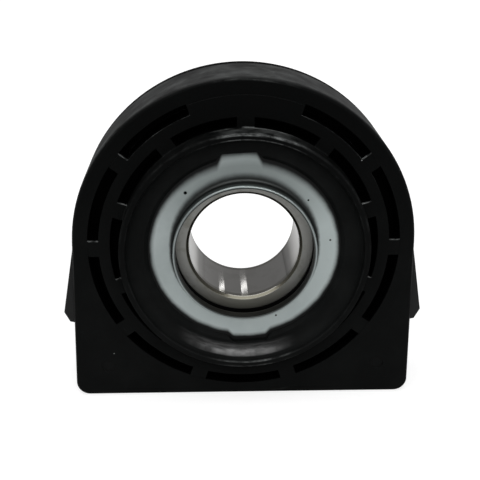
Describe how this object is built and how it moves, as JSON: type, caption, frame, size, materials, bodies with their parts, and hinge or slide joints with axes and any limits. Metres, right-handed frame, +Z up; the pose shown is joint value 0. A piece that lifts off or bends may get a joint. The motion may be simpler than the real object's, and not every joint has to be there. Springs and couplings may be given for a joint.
{
  "type": "driveshaft centre bearing",
  "caption": "D-shaped slotted rubber cushion block with a raised hub that carries a sealed ball bearing behind pressed steel dust shields, for holding a driveshaft.",
  "frame": {"origin": "middle of the shaft bore, on its axis, midway along the inner ring", "axes": "+Y along the bore towards the rear, the dished face seen in the picture faces -Y, +Z up from the flat base to the arch, +X to the right seen from the front"},
  "size_m": [0.1326, 0.0456, 0.1222],
  "materials": {
    "cushion_rubber": "black moulded rubber, satin with a slight sheen on the hub",
    "seal_rubber": "black nitrile rubber",
    "shield_steel": "dull grey zinc-plated sheet",
    "sleeve_steel": "plain steel",
    "bearing_steel": "ground and polished bearing steel",
    "cage_steel": "pressed steel"
  },
  "bodies": {
    "mount": {"rubber_cushion": "cushion_rubber", "bearing_sleeve": "sleeve_steel", "front_shield": "shield_steel", "rear_shield": "shield_steel", "outer_ring": "bearing_steel", "front_seal": "seal_rubber", "rear_seal": "seal_rubber"},
    "inner_ring": {"inner_ring": "bearing_steel"},
    "cage": {"front_cage_half": "cage_steel", "rear_cage_half": "cage_steel", "cage_rivets": "cage_steel"},
    "ball_1": {"ball_1": "bearing_steel"},
    "ball_2": {"ball_2": "bearing_steel"},
    "ball_3": {"ball_3": "bearing_steel"},
    "ball_4": {"ball_4": "bearing_steel"},
    "ball_5": {"ball_5": "bearing_steel"},
    "ball_6": {"ball_6": "bearing_steel"},
    "ball_7": {"ball_7": "bearing_steel"},
    "ball_8": {"ball_8": "bearing_steel"},
    "ball_9": {"ball_9": "bearing_steel"}
  },
  "joints": [
    {"name": "inner_ring_spin", "type": "hinge", "parent": "mount", "child": "inner_ring", "pos_m": [0, 0, 0], "axis": [0, 1, 0], "continuous": true},
    {"name": "cage_spin", "type": "hinge", "parent": "mount", "child": "cage", "pos_m": [0, 0, 0], "axis": [0, 1, 0], "continuous": true},
    {"name": "ball_1_spin", "type": "hinge", "parent": "cage", "child": "ball_1", "pos_m": [0, 0, 0.03], "axis": [0, 1, 0], "continuous": true},
    {"name": "ball_2_spin", "type": "hinge", "parent": "cage", "child": "ball_2", "pos_m": [-0.01928, 0, 0.02298], "axis": [0, 1, 0], "continuous": true},
    {"name": "ball_3_spin", "type": "hinge", "parent": "cage", "child": "ball_3", "pos_m": [-0.02954, 0, 0.00521], "axis": [0, 1, 0], "continuous": true},
    {"name": "ball_4_spin", "type": "hinge", "parent": "cage", "child": "ball_4", "pos_m": [-0.02598, 0, -0.015], "axis": [0, 1, 0], "continuous": true},
    {"name": "ball_5_spin", "type": "hinge", "parent": "cage", "child": "ball_5", "pos_m": [-0.01026, 0, -0.02819], "axis": [0, 1, 0], "continuous": true},
    {"name": "ball_6_spin", "type": "hinge", "parent": "cage", "child": "ball_6", "pos_m": [0.01026, 0, -0.02819], "axis": [0, 1, 0], "continuous": true},
    {"name": "ball_7_spin", "type": "hinge", "parent": "cage", "child": "ball_7", "pos_m": [0.02598, 0, -0.015], "axis": [0, 1, 0], "continuous": true},
    {"name": "ball_8_spin", "type": "hinge", "parent": "cage", "child": "ball_8", "pos_m": [0.02954, 0, 0.00521], "axis": [0, 1, 0], "continuous": true},
    {"name": "ball_9_spin", "type": "hinge", "parent": "cage", "child": "ball_9", "pos_m": [0.01928, 0, 0.02298], "axis": [0, 1, 0], "continuous": true}
  ],
  "couplings": [
    {"joint": "cage_spin", "follows": "inner_ring_spin", "ratio": 0.4},
    {"joint": "ball_1_spin", "follows": "inner_ring_spin", "ratio": -2.4},
    {"joint": "ball_2_spin", "follows": "inner_ring_spin", "ratio": -2.4},
    {"joint": "ball_3_spin", "follows": "inner_ring_spin", "ratio": -2.4},
    {"joint": "ball_4_spin", "follows": "inner_ring_spin", "ratio": -2.4},
    {"joint": "ball_5_spin", "follows": "inner_ring_spin", "ratio": -2.4},
    {"joint": "ball_6_spin", "follows": "inner_ring_spin", "ratio": -2.4},
    {"joint": "ball_7_spin", "follows": "inner_ring_spin", "ratio": -2.4},
    {"joint": "ball_8_spin", "follows": "inner_ring_spin", "ratio": -2.4},
    {"joint": "ball_9_spin", "follows": "inner_ring_spin", "ratio": -2.4}
  ]
}
